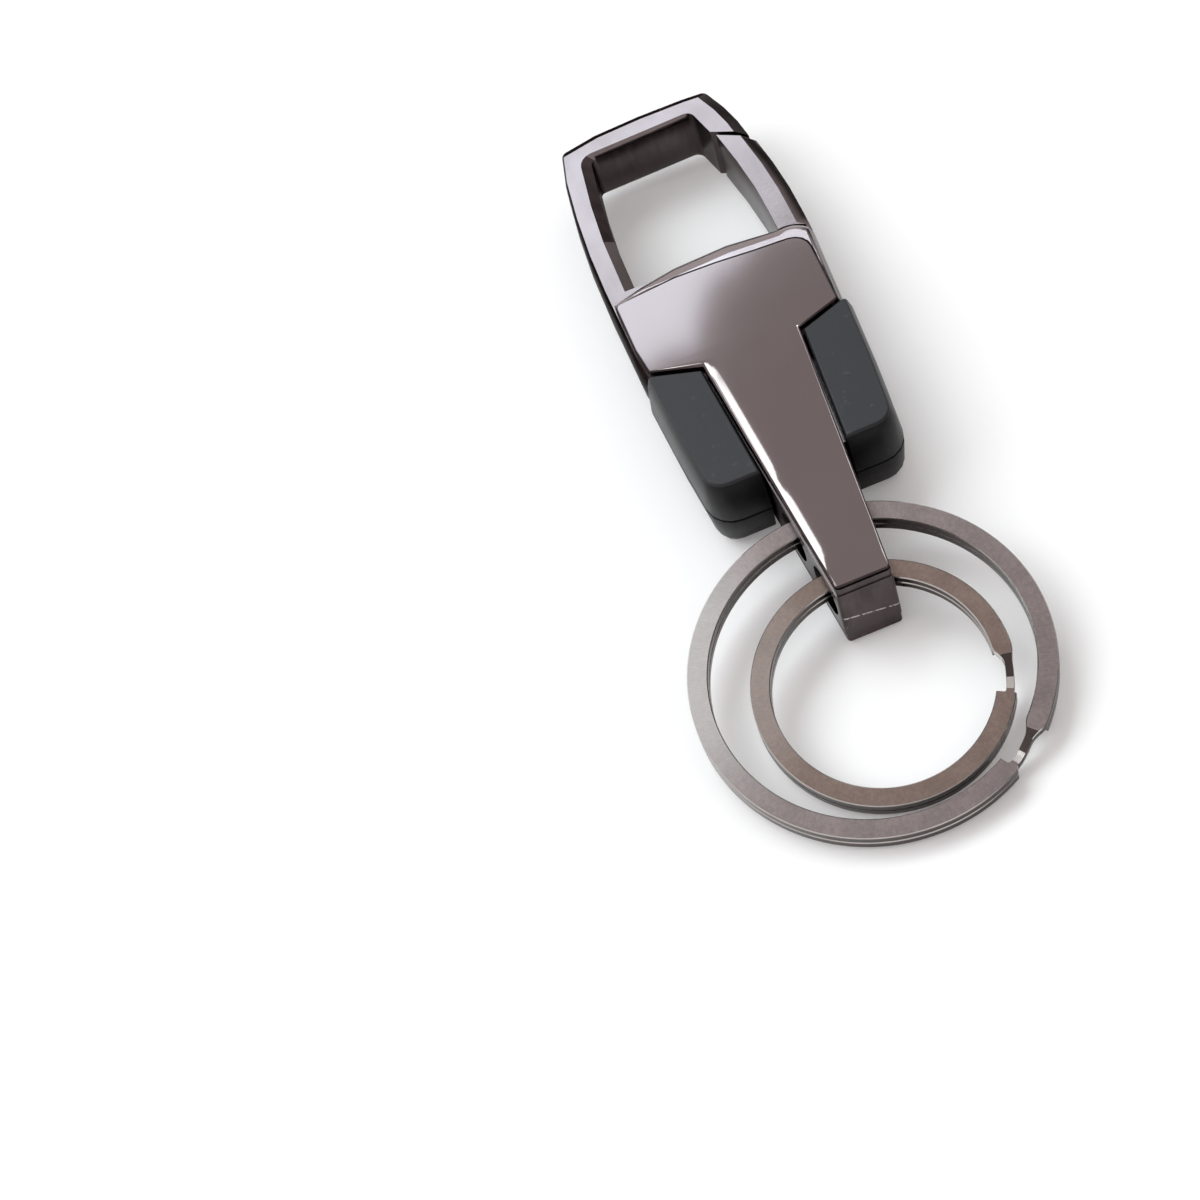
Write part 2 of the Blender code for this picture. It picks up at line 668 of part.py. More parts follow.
# Materials
cast_steel = material("dark_nickel", (0.3, 0.28, 0.29), 1.0, 0.2)
cover_steel = material("polished_cover", (0.24, 0.21, 0.21), 1.0, 0.14)
black_plastic = material("black_plastic", (0.02, 0.02, 0.021), 0.0, 0.45)
brushed_wire = material("brushed_wire", (0.36, 0.32, 0.29), 1.0, 0.35)
pin_steel = material("pin_steel", (0.5, 0.5, 0.5), 1.0, 0.3)
finishes = {
    "hook_frame": cast_steel,
    "gate": cast_steel,
    "front_cover": cover_steel,
    "back_cover": cover_steel,
    "grip_left_front": black_plastic,
    "grip_left_back": black_plastic,
    "grip_right_front": black_plastic,
    "grip_right_back": black_plastic,
    "gate_pin": pin_steel,
    "gate_spring": pin_steel,
    "large_ring": brushed_wire,
    "small_ring": brushed_wire,
}
for name, finish in finishes.items():
    bpy.data.objects[name].data.materials.append(finish)
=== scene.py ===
"""Key tag: polished dark nickel hook and covers, black grips and brushed split rings."""

import math

import bmesh
import bpy
from mathutils import Matrix, Vector


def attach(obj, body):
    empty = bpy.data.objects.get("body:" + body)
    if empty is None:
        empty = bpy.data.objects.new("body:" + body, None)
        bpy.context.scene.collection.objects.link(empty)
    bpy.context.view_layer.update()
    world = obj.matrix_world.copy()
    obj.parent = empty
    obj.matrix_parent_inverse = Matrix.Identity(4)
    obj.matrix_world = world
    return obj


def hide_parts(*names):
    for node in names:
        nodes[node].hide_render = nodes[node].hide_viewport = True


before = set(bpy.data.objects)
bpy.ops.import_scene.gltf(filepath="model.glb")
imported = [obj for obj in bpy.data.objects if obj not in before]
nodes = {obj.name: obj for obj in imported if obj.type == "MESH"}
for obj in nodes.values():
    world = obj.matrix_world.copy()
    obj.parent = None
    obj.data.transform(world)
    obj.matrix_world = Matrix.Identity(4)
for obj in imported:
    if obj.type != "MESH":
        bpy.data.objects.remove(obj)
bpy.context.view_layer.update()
mm = 0.001
half_thickness = 4.92
tail_end = Vector((0.0, -21.0, half_thickness))  # where the tag was measured from, in millimetres


def direction(azimuth, elevation):
    """The direction at these angles in degrees; azimuth 0 is from the tail towards the hook."""
    azimuth, elevation = math.radians(azimuth), math.radians(elevation)
    flat = math.cos(elevation)
    return Vector((math.sin(azimuth) * flat, math.cos(azimuth) * flat, math.sin(elevation)))


# Camera at the photographed angle
camera_azimuth, camera_elevation = 1.427, 55.758
camera_roll = math.radians(-21.04)
camera_target = Vector((-23.385, -8.757, 5.0)) * mm
camera_distance = 308.15 * mm
camera_lens = 95.538
camera_sensor = 36.0
ahead = direction(camera_azimuth, -camera_elevation)
level = direction(camera_azimuth + 90.0, 0.0)
above = level.cross(ahead)
side = level * math.cos(camera_roll) + above * math.sin(camera_roll)
upright = above * math.cos(camera_roll) - level * math.sin(camera_roll)
lens = bpy.data.cameras.new("camera")
lens.lens = camera_lens
lens.sensor_width = camera_sensor
camera = bpy.data.objects.new("camera", lens)
turn = Matrix((side, upright, -ahead)).transposed().to_4x4()
camera.matrix_world = Matrix.Translation(camera_target - ahead * camera_distance) @ turn
bpy.context.scene.collection.objects.link(camera)
bpy.context.scene.camera = camera
bpy.context.scene.view_settings.view_transform = "Standard"


# Shader writing
class Value:
    """A shader socket that takes part in plain arithmetic."""

    def __init__(self, tree, socket):
        self.tree = tree
        self.socket = socket

    def worked(self, operation, *operands):
        """What a Math node makes of these operands."""
        math_node = self.tree.nodes.new("ShaderNodeMath")
        math_node.operation = operation
        for place, item in zip(math_node.inputs, operands):
            connect(self.tree, place, item)
        return Value(self.tree, math_node.outputs[0])

    def __add__(self, other):
        return self.worked("ADD", self, other)

    def __radd__(self, other):
        return self.worked("ADD", other, self)

    def __sub__(self, other):
        return self.worked("SUBTRACT", self, other)

    def __rsub__(self, other):
        return self.worked("SUBTRACT", other, self)

    def __mul__(self, other):
        return self.worked("MULTIPLY", self, other)

    def __rmul__(self, other):
        return self.worked("MULTIPLY", other, self)

    def __pow__(self, other):
        return self.worked("POWER", self, other)

    def __rpow__(self, other):
        return self.worked("POWER", other, self)

    def __abs__(self):
        return self.worked("ABSOLUTE", self)

    def __gt__(self, other):
        return self.worked("GREATER_THAN", self, other)

    def __lt__(self, other):
        return self.worked("LESS_THAN", self, other)

    def clamped(self):
        return self.worked("MINIMUM", self.worked("MAXIMUM", self, 0.0), 1.0)


def connect(tree, place, item):
    """Puts a number, a colour or another node's output into a socket."""
    if isinstance(item, Value):
        tree.links.new(item.socket, place)
    else:
        place.default_value = item


class Finish:
    """The shader nodes of a material or of the studio's sky."""

    def __init__(self, owner):
        owner.use_nodes = True
        self.owner = owner
        self.tree = owner.node_tree

    def fill(self, node, sockets):
        """Fills a node's sockets: Base_Color is the one of that name, in6 is the seventh."""
        for name, value in sockets.items():
            numbered = name.startswith("in") and name[2:].isdigit()
            place = node.inputs[int(name[2:]) if numbered else name.replace("_", " ")]
            connect(self.tree, place, value)

    def node(self, kind, output=0, settings=None, **sockets):
        """A new node's output, given by its number or name."""
        made = self.tree.nodes.new(kind)
        for name, value in (settings or {}).items():
            setattr(made, name, value)
        self.fill(made, sockets)
        return Value(self.tree, made.outputs[output])

    def give(self, receiver="Principled BSDF", **sockets):
        """Fills sockets of a node that was there from the start, and returns what is finished."""
        self.fill(self.tree.nodes[receiver], sockets)
        return self.owner

    def place(self):
        return self.node("ShaderNodeTexCoord", "Object")

    def mapped(self, scale=(1.0, 1.0, 1.0), location=(0.0, 0.0, 0.0)):
        return self.node("ShaderNodeMapping", Vector=self.place(), Scale=scale, Location=location)

    def noise(self, scale, detail=2.0, roughness=0.5, vector=None):
        """Noise with about this many features in a metre."""
        return self.node(
            "ShaderNodeTexNoise",
            Vector=vector or self.place(), Scale=scale, Detail=detail, Roughness=roughness,
        )

    def mixed(self, factor, first, second):
        return self.node(
            "ShaderNodeMix", 2, {"data_type": "RGBA"}, in0=factor, in6=first, in7=second,
        )

    def graded(self, value, low, high):
        """0 at the low value, 1 at the high one, smooth between."""
        return self.node(
            "ShaderNodeMapRange", 0, {"interpolation_type": "SMOOTHSTEP"},
            Value=value, From_Min=low, From_Max=high,
        )

    def axes(self, vector):
        """The three parts of a vector."""
        parts = self.node("ShaderNodeSeparateXYZ", Vector=vector).socket.node
        return [Value(self.tree, socket) for socket in parts.outputs]

    def bump(self, height, strength, distance):
        return self.node("ShaderNodeBump", Height=height, Strength=strength, Distance=distance)


def new_finish(name):
    return Finish(bpy.data.materials.new(name))


def colour(red, green, blue):
    return (red, green, blue, 1.0)


def polished_nickel(name, dark, light, roughness, stretch):
    """Dark nickel plating: slow tone changes, faint polishing lines and a fine orange peel."""
    made = new_finish(name)
    cloud = made.noise(160.0, 3.0)
    lines = made.noise(900.0, 4.0, 0.6, made.mapped(stretch))
    peel = made.noise(2600.0, 2.0)
    tone = made.graded(cloud * 0.7 + lines * 0.3, 0.35, 0.65)
    return made.give(
        Base_Color=made.mixed(tone, dark, light),
        Metallic=1.0,
        Roughness=roughness + (lines - 0.5) * 0.12 + (cloud - 0.5) * 0.06,
        Normal=made.bump(peel * 0.6 + lines * 0.4, 0.12, 0.00002),
    )


def mirror_nickel():
    """Buffed plating: a mirror with barely any cloud in its tone."""
    made = new_finish("polished_cover")
    cloud = made.noise(140.0, 3.0)
    return made.give(
        Base_Color=made.mixed(cloud, colour(0.2, 0.166, 0.165), colour(0.216, 0.18, 0.179)),
        Metallic=1.0,
        Roughness=0.055 + (cloud - 0.5) * 0.02,
    )


# The worn parting line across the tail's end, and the scratched patch beside it
line_height, line_middle, line_slope = 4.27 * mm, -2.5 * mm, 0.184
line_sharpness = 1.0 / (0.125 * mm)
patch_side, patch_fade = 1.2 * mm, 0.4 * mm
patch_low, patch_high = 1.9 * mm, 3.1 * mm
tail_face = -20.8 * mm


def tail_wear(made):
    """How far the plating is worn through: 1 on the parting line and on the scratched patch."""
    x, y, z = made.axes(made.place())
    off_line = (z - (line_height - (x - line_middle) * line_slope)) * line_sharpness
    broken_noise = made.noise(1500.0, 2.0, 0.6, made.mapped((1.0, 0.0, 0.0)))
    line = made.graded(off_line * off_line, 1.0, 0.2) * made.graded(broken_noise, 0.42, 0.52)
    scratch_noise = made.noise(3200.0, 3.0, 0.7, made.mapped((1.0, 0.0, 1.6)))
    in_patch = made.graded(abs(x) - patch_side, 0.0, patch_fade) * (x < 0.0)
    in_patch = in_patch * (z < patch_high) * (z > patch_low)
    patch = in_patch * made.graded(scratch_noise, 0.62, 0.68) * 0.8
    return ((line + patch) * (y < tail_face)).clamped()


def painted_shade_plating(name, edge_tint):
    """Darker copy of the plating for walls and slopes, as painted shade, worn at the tail's end.
    """
    made = new_finish(name)
    cloud = made.noise(160.0, 3.0)
    lines = made.noise(900.0, 4.0, 0.6, made.mapped((1.0, 1.0, 0.25)))
    tone = made.graded(cloud * 0.6 + lines * 0.4, 0.35, 0.65)
    plating = made.mixed(tone, colour(0.05, 0.037, 0.038), colour(0.09, 0.07, 0.072))
    return made.give(
        Base_Color=made.mixed(tail_wear(made), plating, colour(0.55, 0.52, 0.52)),
        Metallic=1.0,
        Specular_Tint=colour(*edge_tint),
        Roughness=0.3 + (lines - 0.5) * 0.1,
    )


def dark_seam():
    """Painted shade: near-black lips round the covers' pockets, where the gap beside the cover
    lies in shadow.
    """
    made = new_finish("dark_seam")
    cloud = made.noise(1200.0, 3.0)
    return made.give(
        Base_Color=made.mixed(cloud, colour(0.008, 0.006, 0.006), colour(0.03, 0.024, 0.024)),
        Metallic=1.0,
        Specular_Tint=colour(0.2, 0.2, 0.2),
        Roughness=0.4 + (cloud - 0.5) * 0.2,
    )


cover_finish = mirror_nickel()
hook_finish = polished_nickel(
    "dark_nickel", colour(0.18, 0.15, 0.15), colour(0.23, 0.195, 0.196), 0.13, (1.0, 0.15, 1.0),
)
# Painted light: a lighter copy of the nickel for the crossbar's rim and the upper pocket lips
rim_painted_light_finish = polished_nickel(
    "dark_nickel_rim", colour(0.33, 0.28, 0.29), colour(0.4, 0.35, 0.36), 0.2, (0.15, 1.0, 1.0),
)
# Painted shade: walls and slopes get a darker copy of the nickel; the slope copy also has its
# grazing sheen dimmed
wall_painted_shade_finish = painted_shade_plating("dark_nickel_wall", (1.0, 1.0, 1.0))
slope_painted_shade_finish = painted_shade_plating("dark_nickel_slope", (0.25, 0.25, 0.25))
seam_painted_shade_finish = dark_seam()


def moulded_plastic(name, dark, light, roughness, sheen):
    """Black plastic with a fine grain and a few pale scuffs."""
    made = new_finish(name)
    grain = made.noise(4200.0, 3.0, 0.6)
    scuffs = made.graded(made.noise(900.0, 5.0, 0.75), 0.6, 0.72)
    return made.give(
        Base_Color=made.mixed(scuffs, dark, light),
        Metallic=0.0,
        Specular_IOR_Level=sheen,
        Roughness=roughness + (grain - 0.5) * 0.2,
        Normal=made.bump(grain, 0.3, 0.00003),
    )


facet_finish = moulded_plastic(
    "black_plastic", colour(0.013, 0.012, 0.015), colour(0.04, 0.039, 0.043), 0.4, 0.34,
)
# Painted shade: the grips' walls get a darker, duller copy of the plastic than their facets
plastic_wall_painted_shade = moulded_plastic(
    "black_plastic_wall", colour(0.004, 0.004, 0.005), colour(0.012, 0.012, 0.013), 0.36, 0.2,
)
highlight_middle = 2.75  # where the painted highlight on a ring is brightest, as an angle round its middle in radians


def brushed_wire(name, centre, tone, highlight_strength):
    """Flat wire with lines that run out from the ring's middle, and a painted highlight on one
    side.
    """
    made = new_finish(name)
    x, y, z = made.axes(made.mapped(location=tuple(-centre)))
    angle = x.worked("ARCTAN2", y, x)
    around = made.node(
        "ShaderNodeCombineXYZ", X=angle * 60.0, Y=z * 1500.0, Z=(x * x + y * y) ** 0.5 * 350.0,
    )
    fine = made.noise(3.0, 5.0, 0.75, around)
    broad = made.noise(300.0, 3.0, 0.6)
    specks = made.noise(2600.0, 4.0, 0.8)
    shade = made.graded(fine * 0.35 + broad * 0.25 + specks * 0.4, 0.4, 0.62)
    dark = colour(*(channel * 0.72 for channel in tone))
    # Painted highlight: one side of the ring is mixed towards a pale colour, where light catches
    # the brushed wire
    painted_highlight = made.graded(angle.worked("COSINE", angle - highlight_middle), 0.55, 1.0)
    painted_highlight = painted_highlight * (0.5 + fine * 0.5) * highlight_strength
    brushed = made.mixed(shade, dark, colour(*tone))
    return made.give(
        Base_Color=made.mixed(painted_highlight, brushed, colour(0.6, 0.57, 0.57)),
        Metallic=1.0,
        Roughness=0.34 + (fine - 0.5) * 0.25,
        Normal=made.bump(fine * 0.5 + specks * 0.5, 0.3, 0.00003),
    )


def wire_wall(name, tone):
    """Plain wire: darker as painted shade on sides and neck top, lighter on eased edges and the
    neck's painted highlight.
    """
    made = new_finish(name)
    cloud = made.noise(700.0, 3.0)
    dark = colour(*(channel * 0.7 for channel in tone))
    return made.give(
        Base_Color=made.mixed(cloud, dark, colour(*tone)),
        Metallic=1.0,
        Roughness=0.22 + (cloud - 0.5) * 0.1,
    )


def plain_steel():
    """Turned steel of the pin and the spring."""
    made = new_finish("pin_steel")
    cloud = made.noise(900.0, 3.0)
    return made.give(
        Base_Color=made.mixed(cloud, colour(0.4, 0.39, 0.38), colour(0.55, 0.54, 0.53)),
        Metallic=1.0,
        Roughness=0.3 + (cloud - 0.5) * 0.2,
    )


# Pieces
weld_distance = 0.002 * mm
flat_angle = math.radians(0.6)
eased_angle = math.radians(22.0)
crease_angle = math.radians(32.0)
large_flat = 0.2 * mm * mm

# Kinds of face by the upward part of their normal, which is 1 on a level face
wall_limit, slope_limit, bent_limit, level_limit = 0.5, 0.93, 0.998, 0.9999


def merged_copy(node):
    """The node's solid as one joined mesh with whole flat faces."""
    bm = bmesh.new()
    bm.from_mesh(nodes[node].data)
    bmesh.ops.remove_doubles(bm, verts=bm.verts, dist=weld_distance)
    bmesh.ops.dissolve_limit(
        bm, angle_limit=flat_angle, verts=bm.verts, edges=bm.edges,
        use_dissolve_boundaries=False, delimit={"NORMAL"},
    )
    return bm


def crisp_flats(mesh):
    """Keeps the shading of large level faces from running into the slopes beside them."""
    level_edges, bent_edges = set(), set()
    for face in mesh.polygons:
        if abs(face.normal.z) > level_limit and face.area > large_flat:
            level_edges.update(face.edge_keys)
        elif abs(face.normal.z) < bent_limit:
            bent_edges.update(face.edge_keys)
    for edge in mesh.edges:
        if edge.key in level_edges and edge.key in bent_edges:
            edge.use_edge_sharp = True


def as_object(name, bm, finishes):
    """The mesh as an object of the scene."""
    mesh = bpy.data.meshes.new(name)
    bm.to_mesh(mesh)
    bm.free()
    made = bpy.data.objects.new(name, mesh)
    bpy.context.scene.collection.objects.link(made)
    for finish in finishes:
        mesh.materials.append(finish)
    return made


def piece(name, bm, body, finishes, node):
    """A finished piece that rides on its body and stands for its node."""
    made = as_object(name, bm, finishes)
    made.data.shade_smooth()
    made.data.set_sharp_from_angle(angle=crease_angle)
    crisp_flats(made.data)
    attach(made, body)
    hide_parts(node)


def softened(bm, edges, width, segments):
    """Rounds these edges."""
    bmesh.ops.bevel(
        bm, geom=edges, offset=width, affect="EDGES", segments=segments, profile=0.5, material=-1,
        clamp_overlap=True, offset_type="OFFSET",
    )


def eased_piece(name, node, body, finishes, width):
    """A piece with the first finish, the second one on its walls, and its edges eased."""
    bm = merged_copy(node)
    for face in bm.faces:
        if abs(face.normal.z) < wall_limit:
            face.material_index = 1
    sharp = [e for e in bm.edges if len(e.link_faces) == 2 and e.calc_face_angle() > eased_angle]
    softened(bm, sharp, width, 2)
    piece(name, bm, body, finishes, node)


# Where the casting's finishes change, in millimetres from the tail end
lip_height, lip_area = 4.84, 20.0 * mm * mm
seam_end = 40.0
rim_low, rim_high, rim_height = 41.0, 50.0, 3.38
rim_lean = 0.1
hook_foot = 48.0
arm_side = -8.5
slope_lean = 0.3


def casting_face_finish(middle, normal, area):
    """The finish of one face of the casting, from its middle in millimetres and its normal."""
    upward = abs(normal.z)
    outer_bar = normal.y > slope_lean
    inner_arm = normal.x > slope_lean and middle.x < 0.0
    outer_arm = normal.x < -slope_lean and middle.x < arm_side
    # Walls, slopes and pocket lips get darker copies of the plating as painted shade; the rim and
    # upper lips a lighter copy as painted light
    if upward < slope_limit and (outer_arm or middle.y > hook_foot and (outer_bar or inner_arm)):
        return slope_painted_shade_finish
    if abs(middle.z) > lip_height and area < lip_area:
        return seam_painted_shade_finish if middle.y < seam_end else rim_painted_light_finish
    if upward < wall_limit:
        return wall_painted_shade_finish
    on_rim = rim_low < middle.y < rim_high and abs(middle.z) > rim_height
    return rim_painted_light_finish if on_rim and upward < level_limit and normal.y > rim_lean else hook_finish


def casting_piece():
    """The casting, with a finish for each kind of face."""
    finishes = [hook_finish, wall_painted_shade_finish, rim_painted_light_finish, slope_painted_shade_finish, seam_painted_shade_finish]
    bm = merged_copy("hook_frame")
    for face in bm.faces:
        middle = face.calc_center_median() / mm - tail_end
        finish = casting_face_finish(middle, face.normal, face.calc_area())
        face.material_index = finishes.index(finish)
    piece("casting", bm, "frame", finishes, "hook_frame")


casting_piece()
eased_piece("gate_bar", "gate", "gate", [hook_finish, wall_painted_shade_finish], 0.06 * mm)


# The covers' rolled sides, in millimetres: distance from the side and depth of the face there
roll_off = ((0.0, 0.075), (0.1, 0.0425), (0.25, 0.025), (0.5, 0.014), (0.95, 0.0035), (1.6, 0.0))
side_length, side_direction = 12.0, 0.75
side_end_fade, side_reach = 0.9, 0.1
cover_ease = 0.03
shoulder_gap = 0.3
waist_place, waist_length, waist_share = 13.6, 1.1, 0.7
foot_place, foot_fade = 2.7, 1.5
stem_cuts = range(2, 32)
same_height, near_height, cut_tolerance = 0.005, 0.05, 0.02
outer_limit, top_limit = 0.9, 0.99


def fall(distance):
    """How deep the polished face lies at this distance from its side, in millimetres."""
    for (near, high_fall), (far, low_fall) in zip(roll_off, roll_off[1:]):
        if distance < far:
            return high_fall + (low_fall - high_fall) * (distance - near) / (far - near)
    return 0.0


def smooth(share):
    """The share, held between 0 and 1 and eased at both."""
    share = min(max(share, 0.0), 1.0)
    return share * share * (3.0 - 2.0 * share)


def side_fall(point, low, high, inward):
    """How deep a point of the polished face lies for one side, from its low to its high end."""
    along = (high - low).normalized()
    risen = (point - low).dot(along) / mm
    left = (high - point).dot(along) / mm
    across = (point - low).dot(inward) / mm
    if across <= -side_reach:
        return 0.0
    return fall(max(across, 0.0)) * smooth(risen / side_end_fade) * smooth(left / side_end_fade)


def long_sides(top):
    """The long sides of a cover's stem: low end, high end and inward direction of each."""
    sides = []
    for edge in top.edges:
        low, high = sorted((vert.co.to_2d() for vert in edge.verts), key=lambda end: end.y)
        run = high - low
        if run.normalized().y > side_direction and run.length > side_length * mm:
            inward = Vector((run.y, -run.x)).normalized()
            sides.append((low, high, inward if inward.x * low.x < 0.0 else -inward))
    return sides


def pillowed(name, node, facing):
    """A cover whose polished face rolls off towards the long sides of its stem."""
    bm = merged_copy(node)
    outer_faces = [face for face in bm.faces if face.normal.z * facing > outer_limit]
    top = max(outer_faces, key=lambda face: face.calc_area())
    height = top.calc_center_median().z
    sides = long_sides(top)
    softened(bm, list(top.edges), cover_ease * mm, 1)
    for face in bm.faces:
        at_top = abs(face.calc_center_median().z - height) < same_height * mm
        face.material_index = 0 if at_top and face.normal.z * facing > top_limit else 1

    # The stem is cut along the rolled sides and across, and its points are then lowered
    shoulder = max(high.y for _, high, _ in sides) + shoulder_gap * mm
    heights = [shoulder] + [y * mm + tail_end.y * mm for y in stem_cuts]
    cuts = [((0.0, y, 0.0), (0.0, 1.0, 0.0)) for y in heights]
    for low, _, inward in sides:
        cuts += [((low + inward * far * mm).to_3d(), inward.to_3d()) for far, _ in roll_off[1:]]
    for place, across in cuts:
        stem = [face for face in bm.faces if face.material_index == 0]
        stem = [face for face in stem if face.calc_center_bounds().y < shoulder]
        geom = stem + list({edge for face in stem for edge in face.edges})
        geom += list({vert for face in stem for vert in face.verts})
        bmesh.ops.bisect_plane(
            bm, geom=geom, dist=cut_tolerance * mm, plane_co=place, plane_no=across,
        )
    for vert in bm.verts:
        if abs(vert.co.z - height) < near_height * mm:
            depth = max(side_fall(vert.co.to_2d(), *side) for side in sides)
            y = vert.co.y / mm - tail_end.y
            waist = waist_share * math.exp(-((y - waist_place) / waist_length) ** 2)
            share = (1.0 - waist) * smooth((y - foot_place) / foot_fade)
            vert.co.z -= facing * depth * share * mm
    piece(name, bm, "frame", [cover_finish, wall_painted_shade_finish], node)


pillowed("cover_front", "front_cover", 1.0)
pillowed("cover_back", "back_cover", -1.0)
for hand in ("left", "right"):
    for face_name in ("front", "back"):
        node = "grip_%s_%s" % (hand, face_name)
        finishes = [facet_finish, plastic_wall_painted_shade]
        eased_piece(node + "_moulding", node, "frame", finishes, 0.07 * mm)


# Split rings, in millimetres
ring_lift = 0.15
wire_thickness, wire_ease = 1.0, 0.1
turn_gap, ring_floor_gap = 0.1, 0.1
turn_steps, neck_steps = 120, 24
neck_slimming = 0.6
slim_share, widen_share = 0.4, 0.12
dive_start, dive_share = 0.22, 0.6
# Sides and the neck's sloped top are darkened as painted shade; eased edges are lighter, and the
# neck's low end has a painted highlight
side_painted_shade_tone, edge_and_highlight_tone = (0.085, 0.07, 0.066), (0.7, 0.67, 0.65)
brushed_face, side_painted_shade_face, edge_and_highlight_face = range(3)
edge_look, wall_look = 0.35, 0.9
neck_look = (0.02, 0.8)
neck_highlight_share = 0.2


def wire_section(width):
    """The wire's cross section, its edges eased: places across and up."""
    half, low, ease = width / 2.0, turn_gap / 2.0, wire_ease
    high = low + wire_thickness
    return (
        (-half + ease, low), (half - ease, low), (half, low + ease), (half, high - ease),
        (half - ease, high), (-half + ease, high), (-half, high - ease), (-half, low + ease),
    )


def swept(bm, faces, centre, angle, steps):
    """Sweeps the wire's end round the ring's middle and gives the new end."""
    moved = bmesh.ops.spin(
        bm, geom=faces, cent=centre, axis=(0.0, 0.0, 1.0), angle=-angle, steps=steps,
    )
    if len(faces[0].edges[0].link_faces) > 2:
        bmesh.ops.delete(bm, geom=faces, context="FACES_ONLY")
    return [item for item in moved["geom_last"] if isinstance(item, bmesh.types.BMFace)]


def wire_face(face, centre):
    """The kind of one face of the wire, by how far it looks sideways or along the wire.

    The sloped top of the neck is darkened as painted shade, with a painted highlight at its low
    end.
    """
    middle = face.calc_center_median()
    out = (middle - centre).to_2d().normalized()
    sideways = abs(face.normal.to_2d().dot(out))
    along = abs(face.normal.to_2d().dot(Vector((out.y, -out.x))))
    if sideways >= edge_look:
        return edge_and_highlight_face if sideways < wall_look else side_painted_shade_face
    if neck_look[0] < along < neck_look[1]:
        return edge_and_highlight_face if middle.z < neck_highlight_share * wire_thickness else side_painted_shade_face
    return brushed_face


def split_ring(
    name, node, radius, width, yaw, start, crossing, hole_y, neck_shift, tone, highlight_strength,
):
    """Two turns of flat wire; the upper one ends in a neck that dives below its own square end."""
    yaw, start, crossing = math.radians(yaw), math.radians(start), math.radians(crossing)
    reach = radius - ring_lift
    centre = Vector((-math.sin(yaw / 2.0), -math.cos(yaw / 2.0), 0.0)) * reach
    pitch = wire_thickness + turn_gap
    spoke = Vector((math.cos(start), math.sin(start), 0.0))
    bm = bmesh.new()
    corners = []
    for across, height in wire_section(width):
        place = centre + spoke * (radius + across) + Vector((0.0, 0.0, height))
        corners.append(bm.verts.new(place))
    end = [bm.faces.new(corners)]
    full = 2.0 * math.pi - crossing
    end = swept(bm, end, centre, full, turn_steps)
    old_width, old_shift, old_drop = 1.0, 0.0, 0.0
    for step in range(neck_steps):
        end = swept(bm, end, centre, crossing / neck_steps, 1)
        share = (step + 1) / neck_steps
        slim = smooth(share / slim_share) * smooth((1.0 - share) / widen_share)
        new_width, new_shift = 1.0 - neck_slimming * slim, neck_shift * slim
        new_drop = -pitch * smooth((share - dive_start) / dive_share)
        for vert in end[0].verts:
            out = Vector((vert.co.x - centre.x, vert.co.y - centre.y, 0.0))
            across = out.length - radius - old_shift
            widened = across * (new_width / old_width - 1.0)
            vert.co += out.normalized() * (widened + new_shift - old_shift)
            vert.co.z += new_drop - old_drop
        old_width, old_shift, old_drop = new_width, new_shift, new_drop
    swept(bm, end, centre, full, turn_steps)
    bmesh.ops.recalc_face_normals(bm, faces=bm.faces)
    for face in bm.faces:
        face.material_index = wire_face(face, centre)
    drop = half_thickness - ring_floor_gap - pitch
    tilt = math.asin(drop / (reach + radius + width / 2.0))
    place = (
        Matrix.Translation((tail_end + Vector((0.0, hole_y, 0.0))) * mm)
        @ Matrix.Rotation(-yaw / 2.0, 4, "Z")
        @ Matrix.Rotation(tilt, 4, "X")
        @ Matrix.Diagonal((mm, mm, mm, 1.0))
    )
    bmesh.ops.transform(bm, matrix=place, verts=bm.verts)
    finishes = [
        brushed_wire(name + "_finish", place @ centre, tone, highlight_strength),
        wire_wall(name + "_wall", side_painted_shade_tone),
        wire_wall(name + "_edge", edge_and_highlight_tone),
    ]
    piece(name, bm, node, finishes, node)


split_ring(
    "large_split_ring", "large_ring", radius=16.5, width=2.0, yaw=8.0, start=-58.0, crossing=18.0,
    hole_y=10.5, neck_shift=0.0, tone=(0.235, 0.19, 0.186), highlight_strength=0.45,
)
split_ring(
    "small_split_ring", "small_ring", radius=11.55, width=1.9, yaw=9.6, start=-25.0, crossing=24.0,
    hole_y=3.5, neck_shift=0.25, tone=(0.235, 0.172, 0.15), highlight_strength=0.2,
)
steel_finish = plain_steel()
for name in ("gate_pin", "gate_spring"):
    nodes[name].data.materials.clear()
    nodes[name].data.materials.append(steel_finish)


# Studio
floor_size = 3.0
floor_height = -0.3 * mm
shadow_wash = 0.15


def floor_paper():
    """White paper; seen directly its shadows are washed out a little."""
    made = new_finish("floor")
    made.give(Base_Color=colour(0.93, 0.915, 0.915), Roughness=0.9, Specular_IOR_Level=0.1)
    paper = Value(made.tree, made.tree.nodes["Principled BSDF"].outputs[0])
    glow = made.node("ShaderNodeEmission", Color=colour(1.0, 0.99, 0.99))
    seen = made.node("ShaderNodeLightPath", "Is Camera Ray")
    blend = made.node("ShaderNodeMixShader", in0=seen * shadow_wash, in1=paper, in2=glow)
    return made.give("Material Output", Surface=blend)


def studio_floor():
    """The sheet that the tag lies on."""
    bm = bmesh.new()
    bmesh.ops.create_grid(bm, x_segments=1, y_segments=1, size=floor_size / 2.0)
    bmesh.ops.translate(bm, vec=(0.0, 0.0, floor_height), verts=bm.verts)
    as_object("floor", bm, [floor_paper()])


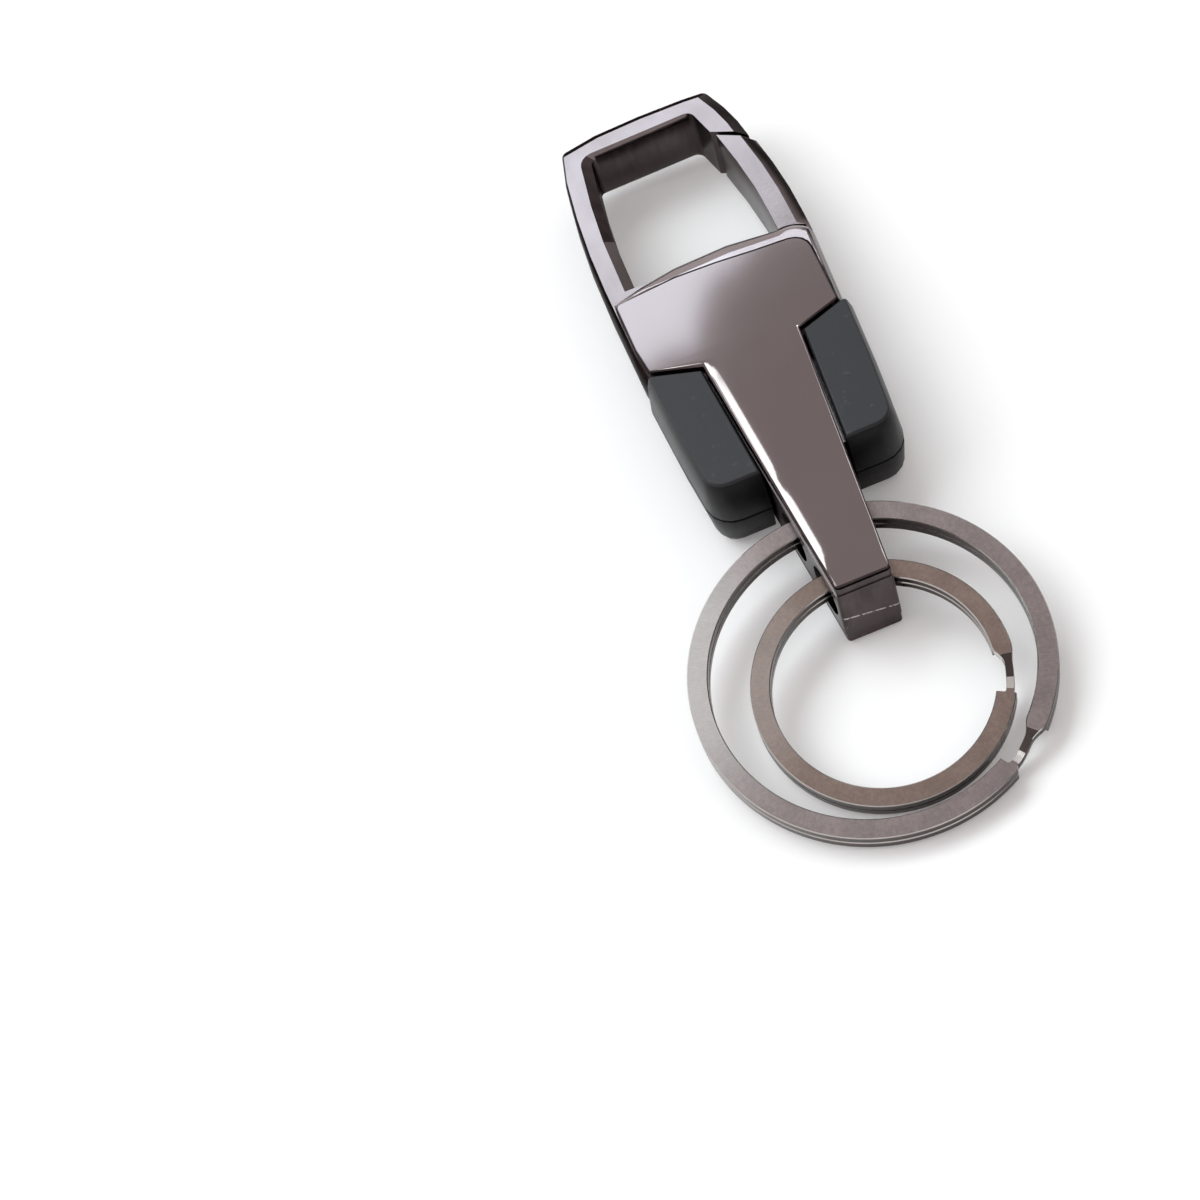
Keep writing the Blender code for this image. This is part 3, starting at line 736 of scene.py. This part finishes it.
def studio_sky():
    """Even pale light all round, with a dark side low down on the right."""
    made = Finish(bpy.data.worlds.new("studio"))
    x, _, z = made.axes(made.node("ShaderNodeTexCoord", "Generated"))
    dark = made.graded(x, 0.25, 0.6) * made.graded(z, 0.5, 0.15)
    sky = made.mixed(dark, colour(0.75, 0.715, 0.705), colour(0.06, 0.055, 0.055))
    return made.give("Background", Color=sky)


panel_distance = 20.0
panel_step = 4.0


def light_panel(name, corners, radiance, tint):
    """A light far off, whose outline runs through these directions."""
    outline = []
    for here, after in zip(corners, corners[1:] + corners[:1]):
        longest = max(abs(after[0] - here[0]), abs(after[1] - here[1]))
        steps = max(1, round(longest / panel_step))
        for step in range(steps):
            outline.append([a + (b - a) * step / steps for a, b in zip(here, after)])
    bm = bmesh.new()
    bmesh.ops.create_circle(bm, cap_ends=True, segments=len(outline), radius=1.0)
    for vert, angles in zip(bm.verts, outline):
        vert.co = direction(*angles) * panel_distance
    glow = new_finish(name).give(
        Base_Color=colour(0.0, 0.0, 0.0), Emission_Color=colour(*tint), Emission_Strength=radiance,
    )
    as_object(name, bm, [glow])


studio_floor()
bpy.context.scene.world = studio_sky()

# Azimuth and elevation of each corner. The later ones of the wide panel are the waved end that its
# reflection has on the front cover.
wide_corners = (
    (-12.0, 44.0), (13.5, 44.0), (13.5, 49.9), (9.6, 50.2), (8.9, 50.5), (8.4, 50.74),
    (7.74, 50.9), (7.26, 51.2), (6.92, 51.61), (6.8, 51.85), (6.56, 52.05), (6.14, 51.98),
    (5.84, 51.95), (5.59, 52.0), (5.31, 52.1), (-12.0, 52.3),
)
high_corners = ((-60.0, 52.9), (4.6, 53.1), (4.6, 60.0), (-8.0, 68.0), (-60.0, 68.0))
left_corners = (
    (-95.0, 30.0), (-55.0, 30.0), (-24.0, 41.0), (-24.0, 52.0), (-55.0, 62.0), (-95.0, 62.0),
)
light_panel("wide_panel", wide_corners, 3.8, (0.88, 1.0, 1.1))
light_panel("high_panel", high_corners, 6.3, (0.87, 1.0, 1.0))
light_panel("left_panel", left_corners, 4.4, (0.95, 1.0, 1.03))
